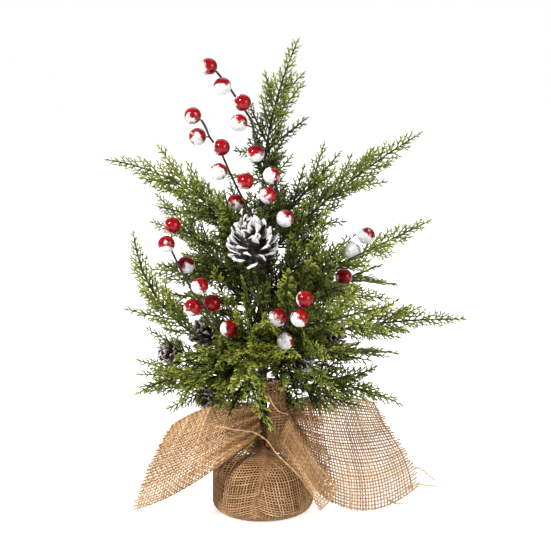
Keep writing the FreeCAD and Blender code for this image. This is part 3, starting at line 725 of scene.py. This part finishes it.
def side_fronds(spray, stem, length, face):
    """Bushy fronds near the trunk, then shorter ones along the outer part of the branch."""
    rng = spray.rng
    run = np.linspace(0, 1, 20)[:, None]
    outer = int(0.4 * length / SIDE_FROND_STEP)
    for k in range(INNER_FRONDS + outer):
        inner = k < INNER_FRONDS
        share = rng.uniform(0.05, 0.3) if inner else 0.3 + 0.35 * (k - INNER_FRONDS + 0.5) / outer
        start, along = stem.at(share * length), stem.way(share * length)
        side = unit(np.cross(along, face))
        turn = FROND_TURN * k + rng.uniform(0, 1.2)
        spread = side * math.cos(turn) + face * math.sin(turn)
        if inner:
            out = unit(0.45 * along + 0.9 * spread + INNER_LEAN)
            shorter = 1 - 0.65 * smooth(spray.root[2], 190, 240)
            size = INNER_FROND_LENGTH * rng.uniform(0.65, 1.0) * shorter
        else:
            out = unit(rng.uniform(0.8, 1.2) * along + 0.7 * spread)
            size = SIDE_FROND_LENGTH * rng.uniform(0.75, 1.1)
        out[2] = max(out[2], LOWEST_LEAN)
        line = cut_at_balls(start + size * (out * run + along * 0.15 * run ** 2), spray.balls)
        if len(line) > 6:
            spray.frond(line, FROND_RADII, facing_for(out, face), 0.65 * TWIG_REACH, 0.1)


def foliage(material, wire_look):
    shapes_rng = np.random.default_rng(11)
    shapes = [twiglet_shape(shapes_rng) for _ in range(TWIGLET_SHAPES)]
    balls = kept_clear()
    roots = {joint["name"]: np.array(joint["pos_m"]) / MM for joint in frame["joints"]}
    for index, (name, (middle, tip, facing, yellow, shoots)) in enumerate(BRANCHES.items()):
        root = roots["bend_" + name]
        stem, length = curve_through(root, middle, tip, np.linspace(0, 1, STEM_POINTS))
        face = facing_for(unit(stem[STEM_POINTS * 2 // 3] - stem[STEM_POINTS // 6]), facing)
        rng = np.random.default_rng(100 + index)
        spray = Spray("cedar_" + name, root, yellow, rng, shapes, balls)
        spray.frond(stem[int(STEM_POINTS * SPRAY_START):], STEM_RADII, face, TWIG_REACH)
        for share, shoot_tip in shoots:
            start = stem[int(share * (STEM_POINTS - 1))]
            line = start + (np.array(shoot_tip, float) - start) * np.linspace(0, 1, 20)[:, None]
            spray.frond(line, SHOOT_RADII, face, 0.75 * TWIG_REACH, 0.1)
        side_fronds(spray, Line(stem), length, face)
        spray.mesh.stand_for("spray_" + name, material, "foliage", "branch_" + name)
        branch_wire(name, root, stem, wire_look)


def branch_wire(name, root, stem, material):
    """The taped wire from the trunk into the spray."""
    way = unit(stem[1] - root)
    near = [root + way * step for step in (-6.0, -3.0, -1.2, 0.0, 1.2)]
    path = np.vstack([*near, stem[2:WIRE_POINTS:2]])
    share = np.linspace(0, 1, len(path))
    radii = WIRE_RADIUS * (1.15 - 0.3 * share) * (1 + 0.06 * np.cos(np.arange(len(path)) * 2.3))
    mesh = Builder("taped_wire_" + name)
    mesh.add(*tube(path, radii, 8))
    made = mesh.build(material, "branch_wire")
    start, end = (tuple((root + way * step) * MM) for step in (-1.6, 1.6))
    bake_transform(made)
    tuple(start)
    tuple(end)
    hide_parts("wire_" + name)


# ---- berries
def berries(material):
    directions, faces = ball_grid(30, 40)
    for index, (pick, snowy) in enumerate(BERRY_SNOW.items()):
        rng = np.random.default_rng(40 + index)
        mesh = Builder("snowy_berries_" + pick)
        for k, middle in enumerate(islands("berries_" + pick)):
            snowy_side = [rng.normal(-0.6, 0.4), rng.normal(0.15, 0.5), rng.normal(-0.5, 0.4)]
            lumps = fbm(directions, 0.6, seed=7.3 * k + index)
            cover = lumps * 0.7 + directions @ unit(snowy_side) + rng.normal(snowy, 0.25)
            snow = smooth(cover, -0.25, 0.6)
            dimple = 0.07 * smooth(-directions[:, 2], 0.9, 1.0)
            crust = SNOW_DEPTH * snow * (0.6 + 0.5 * fbm(directions, 0.22, seed=k))
            radius = BERRY_RADIUS * (1 - dimple) + crust
            radius = radius * rng.uniform(0.95, 1.03)
            tilt, _ = rng.normal(0, 0.4, 2)
            x, y, z = directions.T
            turned = np.stack([x, *rotated(y, z, tilt)], 1)
            mesh.add(middle + turned * radius[:, None], faces, snow=snow)
        mesh.stand_for("berries_" + pick, material, "berry_red", "pick_" + pick)


# ---- pine cones
def cone_scale(length, width, thick, rng, top_snow):
    """One woody scale, root at the origin, out along +Y, its upper side +Z. Points, faces, snow, tone."""
    across, out = np.meshgrid(np.linspace(-1, 1, 9), np.linspace(0, 1, 12))
    tip = np.where(out > 0.66, np.clip(1 - ((out - 0.66) / 0.35) ** 2, 0.01, 1) ** 0.7, 1.0)
    x = across * (width * (0.28 + 0.72 * smooth(out, 0.15, 0.66)) * tip)
    y = out * length
    cup = -0.16 * width * across ** 2 * smooth(out, 0.2, 0.9) + 0.2 * length * out ** 2
    rounded = np.sqrt(np.clip(1 - 0.8 * across ** 2, 0, 1))
    body = thick * (0.5 + 0.9 * smooth(out, 0.55, 0.88)) * rounded
    seed = rng.uniform(0, 90)
    lumps = np.array([noise.noise(Vector((a * 1.3, b * 3.1, seed)))
                      for a, b in zip(across.ravel(), out.ravel())]).reshape(across.shape)
    snowy, low, under_low = out + 0.75 * lumps, 0.72 - 0.3 * top_snow, 0.86 - 0.28 * top_snow
    snow = smooth(snowy + 0.1 * np.abs(across), low, 0.84 - 0.3 * top_snow)
    under_snow = smooth(snowy, under_low, 0.98 - 0.28 * top_snow)
    # Painted shade: the scale is painted darker towards its root, deep in the cone.
    tone = np.clip(0.15 + 0.75 * out + 0.2 * lumps, 0, 1)
    upper = np.stack([x, y, cup + body / 2 + 0.5 * snow * (0.7 + 0.6 * lumps)], 2)
    lower = np.stack([x, y, cup - body / 2], 2)

    size = across.size
    index = np.arange(size).reshape(across.shape)
    quads = np.stack([index[:-1, :-1], index[:-1, 1:], index[1:, 1:], index[1:, :-1]], 2)
    faces = [face.tolist() for quad in quads.reshape(-1, 4) for face in (quad, quad[::-1] + size)]
    rim = np.concatenate([index[0], index[1:, -1], index[-1, -2::-1], index[-2:0:-1, 0]]).tolist()
    faces += [(b, a, size + a, size + b) for a, b in zip(rim, rim[1:] + rim[:1])]
    # Painted shade: the underside is painted darker than the upper side.
    return (np.concatenate([upper, lower]).reshape(-1, 3), faces,
            np.concatenate([snow, under_snow]).ravel(), np.concatenate([tone, 0.6 * tone]).ravel())


def pine_cones(material):
    directions, core_faces = ball_grid(12, 16)
    for index, (name, (radius, height, middle, pointing)) in enumerate(CONES.items()):
        rng = np.random.default_rng(60 + index)
        mesh = Builder("snowy_cone_" + name)
        core_radius, core_height = CORE_SHARE[0] * radius, CORE_SHARE[1] * height
        core = directions * np.array([core_radius, core_radius, core_height])
        pointing = unit(pointing)
        side = unit(np.cross([0.0, 0.3, 1.0], pointing))
        turn = np.stack([side, np.cross(pointing, side), pointing], 1)
        # Painted shade: the core is painted near-black, deep among the scales.
        mesh.add(core @ turn.T + np.array(middle), core_faces, snow=0.0, tone=0.1)
        big = radius > BIG_CONE
        for i in range(CONE_SCALES):
            t = (i + 0.5) / CONE_SCALES
            root_height = height * (-0.36 + 0.56 * t ** 1.1)
            root_radius = 0.24 * radius * math.sqrt(1 - t ** 2) + 0.01 * radius
            lift = math.radians(3 + 61 * t) + rng.normal(0, 0.17)
            length = radius * (0.5 + 0.26 * smooth(t, 0, 0.3) - 0.22 * smooth(t, 0.6, 1))
            length = length * rng.uniform(0.82, 1.15)
            width = radius * (0.21 - 0.06 * t) * rng.uniform(0.75, 1.15)
            covered = rng.uniform(0.0, 0.8) + (0.5 * t if big else -0.3)
            points, faces, snow, tone = cone_scale(length, width, 0.045 * radius, rng, covered)
            x, y, z = points.T
            x, z = rotated(x, z, rng.normal(0, 0.4))
            y, z = rotated(y, z, lift)
            x, y = rotated(x, y + root_radius, i * GOLDEN_ANGLE)
            scale = np.stack([x, y, z + root_height], 1)
            # Smaller cones are painted lighter: partly their own browner colour, partly painted light
            # against the shade among the foliage.
            brown = 0.7 * tone if big else 0.5 + 0.6 * tone
            mesh.add(scale @ turn.T + np.array(middle), faces, snow=snow, tone=brown)
        mesh.stand_for("pine_cone_" + name, material, "cone_scales")


# ---- burlap
def bezier(a, b, c, t):
    return a * (1 - t) ** 2 + b * (2 * t * (1 - t)) + c * t ** 2


def tail_surface(corners, edges, bulge, gathers, behind=0.0):
    """A function from shares (u out from the knot, v down from the top edge) to points of the tail."""
    knot_top, far_top, far_bottom, knot_bottom = (np.array(p, float) for p in corners)
    top, far, bottom, knot = (np.array(p, float) for p in edges)
    out = unit(np.cross(far_top - knot_bottom, far_bottom - knot_top))
    if out[1] > 0 and far_bottom[1] < 50:
        out = -out

    def at(u, v):
        u, v = np.asarray(u, float)[..., None], np.asarray(v, float)[..., None]
        rows = bezier(knot_top, top, far_top, u) * (1 - v) + bezier(knot_bottom, bottom, far_bottom, u) * v
        columns = bezier(knot_top, knot, knot_bottom, v) * (1 - u) + bezier(far_top, far, far_bottom, v) * u
        flat = (knot_top * (1 - v) + knot_bottom * v) * (1 - u) + (far_top * (1 - v) + far_bottom * v) * u
        lift = bulge * np.sin(np.pi * v) * np.sin(np.pi * np.minimum(1.0, 0.15 + 0.75 * u))
        ripple = 3.0 * np.sin(8.0 * v + 2.5 * u) * smooth(u, 0.05, 0.5) + 2.0 * np.sin(6.0 * u - 4.0 * v)
        gather = 2.2 * np.sin(gathers * v) * (1 - smooth(u, 0.05, 0.55))
        return rows + columns - flat + out * (lift + ripple + gather - behind * (1 - v))

    return at


def pouch_profile():
    """The cloth's way from under the base up to the neck: distance along it, radius and height."""
    rim = [(POUCH_RADIUS - POUCH_CORNER + POUCH_CORNER * math.sin(a),
            POUCH_CORNER - POUCH_CORNER * math.cos(a)) for a in np.linspace(0, math.pi / 2, 9)]
    shoulder = [(POUCH_RADIUS - SHOULDER_RADIUS + SHOULDER_RADIUS * math.cos(a),
                 WALL_TOP + SHOULDER_RADIUS * math.sin(a))
                for a in np.radians(np.linspace(0, SHOULDER_END, 9))]
    line = np.array([(0.0, 0.0)] + rim + shoulder + [(NECK_RADIUS, NECK_HEIGHT - 1)])
    line = line + np.array([0.0, 1.0]) * (THREAD_THICK * 2.2)
    return distances(line), line[:, 0] - 0.6, line[:, 1]


def away_from(angle, line):
    """The angle from a line round the base, from -pi to pi."""
    return np.angle(np.exp(1j * (angle - line)))


class Pouch:
    """The cloth round the base. Each side keeps its weave's size, and the spare cloth is in the tucks."""

    def __init__(self):
        self.along, self.radius, self.height = pouch_profile()
        self.reach = self.along[-1]
        steps = np.linspace(0, self.reach, 400)
        self.area = 2 * math.pi * np.interp(steps, self.along, self.radius).clip(0).mean() * self.reach

    def tuck(self, index, far):
        lean = TUCK_LEAN * smooth(far, 40, self.reach) if index % 3 == 0 else 0.0
        turns = 2 * math.pi * (index // 3)
        return TUCKS[index % 3] + lean + turns

    def place(self, x, y):
        """The angle round the base for a flat point of the cloth, and how far it is inside its side."""
        far, flat_angle = np.hypot(x, y), np.arctan2(y, x) + CLOTH_TURN
        radius = np.interp(far, self.along, self.radius)
        spread = np.maximum(far, 1.0) / np.maximum(np.minimum(radius, far), 1.0)
        angle, inside = np.zeros_like(far), np.full_like(far, -99.0)
        for side in range(3):
            low, high = self.tuck(side, 0.0), self.tuck(side + 1, 0.0)
            off = away_from(flat_angle, (low + high) / 2)
            mine = np.abs(off) <= (high - low) / 2
            low, high = self.tuck(side, far), self.tuck(side + 1, far)
            here = (low + high) / 2 + off * spread
            angle = np.where(mine, here, angle)
            inside = np.where(mine, np.minimum(here - low, high - here) * radius, inside)
        return far, angle, inside

    def at(self, x, y):
        far, angle, inside = self.place(x, y)
        radius = np.interp(far, self.along, self.radius)
        height = np.interp(far, self.along, self.height)
        rise = smooth(far, 60, self.reach)
        folds = np.sin(11 * angle + 1.3 * np.sin(2 * angle + 0.6)) + 0.5 * np.sin(17 * angle + 2.0)
        bend = 1.3 * rise * (folds - 1.0)
        # The left side's edge rolls over the front tuck, and the right side dips under it.
        off = away_from(angle, self.tuck(0, far)) * radius
        roll = np.where(off < 0, 2.6 * np.exp(-((off + 3.5) / 3.6) ** 2), 1.8 * smooth(off, 3, 13) - 0.4)
        # A pleat runs down to the left from the neck, over a deep crease.
        pleat = away_from(angle, math.radians(-118) - 0.42 * (1 - rise)) * radius
        pleat = 5.0 * np.exp(-((pleat + 3.5) / 3.2) ** 2) - 4.0 * np.exp(-((pleat - 3.0) / 3.0) ** 2)
        radius = radius + bend + roll * smooth(far, 36, 56) + pleat * smooth(far, 70, 88)
        radius = radius - 0.8 * smooth(-inside, 0.0, 2.5)
        return round_axis(radius, angle, height)


def wander(count, step, size, rng):
    """A smooth random drift over count points, with a new number every few points."""
    places = np.arange(0, count + step, step)
    return np.interp(np.arange(count), places, rng.normal(0, size, len(places)))


def in_order(run, still, family):
    """The cloth's own two coordinates along a thread. The threads of the second family cross the first."""
    return (run, still) if family == 0 else (still, run)


def thread(mesh, surface, a, b, flip, rng, wide, wobble, light):
    """One thread along a and b, arrays of the cloth's own coordinates in mm, woven over and under."""
    eps = 0.4
    point = surface(a, b)
    across_a = surface(a + eps, b) - surface(a - eps, b)
    across_b = surface(a, b + eps) - surface(a, b - eps)
    normal = unit(np.cross(across_a, across_b))
    slub = wander(len(a), 6, 0.13, rng)
    drift = wander(len(a), 9, wobble, rng)
    side = unit(np.cross(np.gradient(point, axis=0), normal))
    path = point + normal * (flip * THREAD_THICK * 0.95)[:, None] + side * drift[:, None]
    size = wide * rng.uniform(0.84, 1.12) * (1 + slub)
    points, faces = tube(path, size, THREAD_SIDES, normal, THREAD_THICK / wide)
    # Painted shade: the thread is painted darker near the knot, for the shade of the gathered folds.
    shade = KNOT_SHADE * (1 - smooth(np.linalg.norm(point - KNOT, axis=1), 12, 55))
    # Painted light and shade: the thread is painted lighter where it lies over the others and darker where
    # it dips under them.
    tone = np.clip(rng.normal(0.55, 0.14) + light - shade + 0.8 * slub + 0.25 * flip, 0, 1)
    mesh.add(points, faces, tone=np.append(np.repeat(tone, THREAD_SIDES), tone[[0, -1]]))


def over_under(run, pitch, first, index, family):
    """1 where a thread lies over the others and -1 where it lies under them, smoothly between."""
    return np.cos(np.pi * (run / pitch - first) + np.pi * index) * (-1) ** family


def lay_sheet(mesh, material, wide, tall):
    """Makes a woven piece, a sheet of burlap. Wide and tall, its size in mm when flat, are not used."""
    made = mesh.build(material, "burlap")
    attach(made, BASE_BODY)
    return made


def weave_pouch(material):
    pouch = Pouch()
    rng = np.random.default_rng(5)
    mesh = Builder("burlap_pouch")
    lines = np.arange(-math.floor(pouch.reach / PITCH) * PITCH, pouch.reach, PITCH)
    for family in (0, 1):
        for index, place in enumerate(lines):
            half = math.sqrt(max(0.0, pouch.reach ** 2 - place ** 2))
            steps = int(half / (PITCH / 2))
            run = np.arange(-steps, steps + 1) * PITCH / 2
            flip = over_under(run, PITCH, lines[0] / PITCH, index, family)
            x, y = in_order(run, np.full(len(run), place), family)
            shown = pouch.place(x, y)[2] > -TUCKED
            edges = np.flatnonzero(np.diff(np.concatenate([[0], shown.astype(int), [0]])))
            for start, end in zip(edges[::2], edges[1::2]):
                if end - start > 3:
                    part = slice(start, end)
                    thread(mesh, pouch.at, x[part], y[part], flip[part], rng, THREAD_WIDE, 0.12, 0.1)
    across = 2 * pouch.reach
    made = lay_sheet(mesh, material, across, across)
    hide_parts("burlap_wrap")


def weave_patch(name, surface, material, seed, pitch=PITCH, fray_end=True, fray_side=False, light=0.0,
                wide_thread=TAIL_THREAD_WIDE):
    """Weaves threads over a surface of shares: u runs out along its width, v along its height."""
    rng = np.random.default_rng(seed)
    mesh = Builder(name)
    wide, tall = patch_size(surface)

    def by_size(a, b):
        return surface(a / wide, b / tall)

    for family, (length, height) in enumerate(((wide, tall), (tall, wide))):
        count = int(height / pitch)
        frayed_along, frayed_here = (fray_end, fray_side) if family == 0 else (fray_side, fray_end)
        for index in range(count):
            place = (index + 0.5) * height / count
            if frayed_here and place > height - FRINGE * rng.uniform(0.7, 1.2):
                continue
            end = length + (rng.uniform(-2.5, 1.0) if frayed_along else 0.0)
            run = np.arange(0.0, end, pitch / 2)
            flip = over_under(run, pitch, 0.5, index, family)
            still = place + 0.5 * np.sin(run / 17.0 + index * 0.4)
            if frayed_along:
                loose = smooth(run, length - FRINGE, length)
                flip = flip * (1 - loose) + loose * rng.normal(0, 1.2)
                still = still + loose * rng.normal(0, 0.9)
            thread(mesh, by_size, *in_order(run, still, family), flip, rng, wide_thread, 0.16, light)
    lay_sheet(mesh, material, wide, tall)


def patch_size(surface):
    """How wide and tall a patch is when flat: the mean lengths of its rows and columns."""
    share = np.linspace(0, 1, 25)
    wide = np.mean([distances(surface(share, np.full(25, v)))[-1] for v in share])
    tall = np.mean([distances(surface(np.full(25, u), share))[-1] for u in share])
    return wide, tall


def ruff_at(u, v):
    """The gathered cloth above the tie: u round the neck, v up."""
    angle = 2 * np.pi * np.asarray(u)
    v = np.asarray(v)
    radius = NECK_RADIUS + (RUFF_RADIUS - NECK_RADIUS - 3) * np.sqrt(np.clip(v, 0, 1))
    folds = np.sin(9 * angle + 1.1 * np.sin(angle)) * (1.0 + 3.2 * v) + 1.4 * v * np.sin(5 * angle + 1)
    radius = radius + folds
    height = NECK_HEIGHT - 2 + 22 * v + 3.5 * v * np.sin(3 * angle + 0.5)
    return round_axis(radius, angle, height)


def roll_at(u, v):
    """The corner rolled up in front of the neck: u up its length, v round it and inwards."""
    middle = np.array([place for place, _ in ROLL], float)
    radii = np.array([radius for _, radius in ROLL])
    knots = np.linspace(0, 1, len(ROLL))
    u, v = np.asarray(u, float), np.asarray(v, float)
    turn = np.radians(-170 + 780 * v)
    radius = np.interp(u, knots, radii) * (1 + 0.1 * np.sin(3 * turn + 5 * u)) * (1 - 0.4 * v)
    # A fold crosses the roll at a slant, with a collar above it.
    radius = radius - 2.2 * np.exp(-((u - 0.6 + 0.09 * np.sin(turn)) / 0.05) ** 2)
    round_it = np.stack([np.sin(turn), -0.75 * np.cos(turn), 0.25 * np.sin(turn * 1.5 + 1) * u], -1)
    return places_on(middle, knots, u) + radius[..., None] * round_it


def loose_yarns(material):
    """Single yarns that have pulled free of the weave."""
    rng = np.random.default_rng(3)
    mesh = Builder("loose_yarns")
    for points in YARNS:
        points = np.array(points, float)
        path = places_on(points, np.arange(len(points)), np.linspace(0, len(points) - 1, 12 * len(points)))
        padded = np.vstack([np.repeat(path[:1], 4, 0), path, np.repeat(path[-1:], 4, 0)])
        path = np.stack([np.convolve(padded[:, k], np.ones(9) / 9, "valid") for k in range(3)], 1)
        path = path + rng.normal(0, 0.12, path.shape)
        slub = 1 + 0.25 * np.sin(np.arange(len(path)) * 0.9)
        mesh.add(*tube(path, YARN_RADIUS * slub * np.linspace(1, 0.7, len(path)), 6), tone=0.85)
    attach(mesh.build(material, "burlap"), BASE_BODY)


def burlap(material):
    weave_pouch(material)
    loose_yarns(material)
    for index, (name, shape) in enumerate(TAILS.items()):
        light, wide_thread = TAIL_LOOKS[name]
        weave_patch(f"burlap_{name}_tail", tail_surface(*shape), material, 20 + index,
                    fray_end=name != "strip", fray_side=name == "back", light=light,
                    wide_thread=wide_thread)
    # Painted shade: the layers behind the left and right tails, the gathers and the rolled corner are
    # painted darker, for the shade under and between the folds of the cloth.
    lining, fold = (tail_surface(*TAILS[name], behind=LAYER_GAP) for name in ("left", "right"))
    weave_patch("burlap_left_tail_behind", lining, material, 33, light=-0.3)
    weave_patch("burlap_right_tail_behind", lambda u, v: fold(RIGHT_FOLD * u, v), material, 34, light=-0.15)
    weave_patch("burlap_gathers", ruff_at, material, 35, light=-0.2)
    weave_patch("burlap_rolled_corner", roll_at, material, 36, CLOSE_PITCH, fray_end=False, light=-0.2)


# ---- trunk, tie and weight
def trunk(material):
    """A tapering trunk wound with tape, each turn lapping the last."""
    mesh = Builder("taped_trunk")
    heights = np.arange(TRUNK_FOOT[0], TRUNK_TOP[0] + 2, 0.8)
    turn = (2 * np.pi * np.arange(TRUNK_SIDES) / TRUNK_SIDES)[None]
    share = (heights - TRUNK_FOOT[0]) / (TRUNK_TOP[0] - TRUNK_FOOT[0])
    radius = (TRUNK_FOOT[1] + (TRUNK_TOP[1] - TRUNK_FOOT[1]) * share)[:, None]
    rows = heights[:, None]
    lap = ((rows / TAPE_TURN + turn / (2 * np.pi)) % 1.0) * TAPE_LAP
    wires = 0.3 * np.sin(5 * turn + rows / 40) + 0.15 * np.sin(11 * turn - rows / 23)
    radius = radius + lap + wires
    rings = round_axis(radius, turn, np.broadcast_to(rows, radius.shape))
    caps = [[0, 0, heights[0]], [0, 0, heights[-1] + 1]]
    faces = [face[::-1] for face in tube_faces(len(heights), TRUNK_SIDES)]
    mesh.add(np.vstack([rings.reshape(-1, 3), caps]), faces)
    mesh.stand_for("trunk", material, "trunk_tape")


def base_weight(material):
    """The cast plug inside the pouch, with a rough skin and a rounded rim."""
    mesh = Builder("cast_plug")
    directions, faces = ball_grid(40, 64)
    level = np.hypot(directions[:, 0], directions[:, 1])
    spread = (np.abs(level) ** PLUG_POWER + np.abs(directions[:, 2]) ** PLUG_POWER) ** (-1 / PLUG_POWER)
    points = directions * spread[:, None] * np.array([PLUG_RADIUS, PLUG_RADIUS, PLUG_HEIGHT / 2])
    points = points * (1 + 0.006 * fbm(points, 9.0)[:, None])
    mesh.add(points + np.array([0, 0, PLUG_BOTTOM + PLUG_HEIGHT / 2]), faces)
    mesh.stand_for("base_weight", material, "cast_base")


def twist_tie(material):
    """Two thin wires twisted together round the neck, with their ends at the front left."""
    mesh = Builder("twisted_gold_tie")
    knot = np.array([-5.0, -NECK_RADIUS - 1.0, NECK_HEIGHT])
    for strand, lean in ((0, -1), (np.pi, 1)):
        turn = np.linspace(*TIE_ARC, 220)
        twist = turn * TIE_TWISTS + strand
        ring = NECK_RADIUS + 1.6 + TIE_TWIST * np.cos(twist)
        height = NECK_HEIGHT + TIE_TWIST * np.sin(twist)
        mesh.add(*tube(round_axis(ring, turn, height), TIE_WIRE_RADIUS, 7))
        share = np.linspace(0, 1, 40)
        end = knot + share[:, None] * np.array([-11.0 - 2.0 * lean, -25.0, -2.0 + 2.5 * lean])
        twist = 20 * share + strand
        end = end + 0.5 * np.stack([np.cos(twist), 0 * share, np.sin(twist)], 1)
        mesh.add(*tube(end, TIE_END_RADIUS, 7))
    mesh.stand_for("twist_tie", material, "gold_wire")


def paint_frame(looks):
    """Gives the CAD nodes that stay in view their materials."""
    for node, material in looks.items():
        slots = frame["nodes"][node].data.materials
        slots.clear()
        slots.append(material)


# ---- floor, light and camera
def put(name, data, place, towards):
    """Adds a light or a camera at a place, turned to look along a direction."""
    made = bpy.data.objects.new(name, data)
    made.location = place
    made.rotation_euler = towards.to_track_quat("-Z", "Y").to_euler()
    bpy.context.scene.collection.objects.link(made)
    return made


def backdrop():
    bpy.ops.mesh.primitive_plane_add(size=6, location=(0, 0, 0))
    floor = bpy.context.object
    floor.name = "floor"
    look = Look(bpy.data.materials.new("pale_floor"))
    look.shade({
        "Base Color": (0.93, 0.93, 0.93), "Roughness": 0.8, "Emission Color": (1, 1, 1),
        "Emission Strength": look.seen_or_cast(FLOOR_SEEN, FLOOR_CAST)})
    floor.data.materials.append(look.owner)
    floor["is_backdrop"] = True
    world = bpy.context.scene.world = bpy.data.worlds.new("studio")
    look = Look(world, "Background")
    look.shade({"Color": (1, 1, 1), "Strength": look.seen_or_cast(BACKDROP_SEEN, BACKDROP_CAST)})


def studio():
    backdrop()
    for name, (place, size, power) in LIGHTS.items():
        light = bpy.data.lights.new(name, "AREA")
        light.size, light.energy = size, power
        put(name, light, place, LIT_POINT - Vector(place))
    back = Vector((0, -math.cos(VIEW_ELEVATION), math.sin(VIEW_ELEVATION)))
    view = bpy.data.cameras.new("camera")
    view.lens, view.sensor_width = LENS, SENSOR
    scene = bpy.context.scene
    scene.camera = put("camera", view, VIEW_TARGET + back * VIEW_DISTANCE, -back)
    scene.view_settings.view_transform = "Standard"


def main():
    studio()
    tape = tape_material("brown_tape", (0.018, 0.011, 0.007))
    stem_look = tape_material("dark_stem", (0.016, 0.01, 0.009))
    foliage(foliage_material(), tape_material("green_brown_tape", (0.035, 0.032, 0.012)))
    berries(berry_material())
    pine_cones(cone_material())
    burlap(burlap_material())
    trunk(tape)
    twist_tie(gold_material())
    base_weight(cement_material())
    paint_frame({"cone_wires": tape} | {"berry_stem_" + pick: stem_look for pick in BERRY_SNOW})


main()
low_high = [[list(corner) for corner in box] for box in (cad_box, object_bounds())]
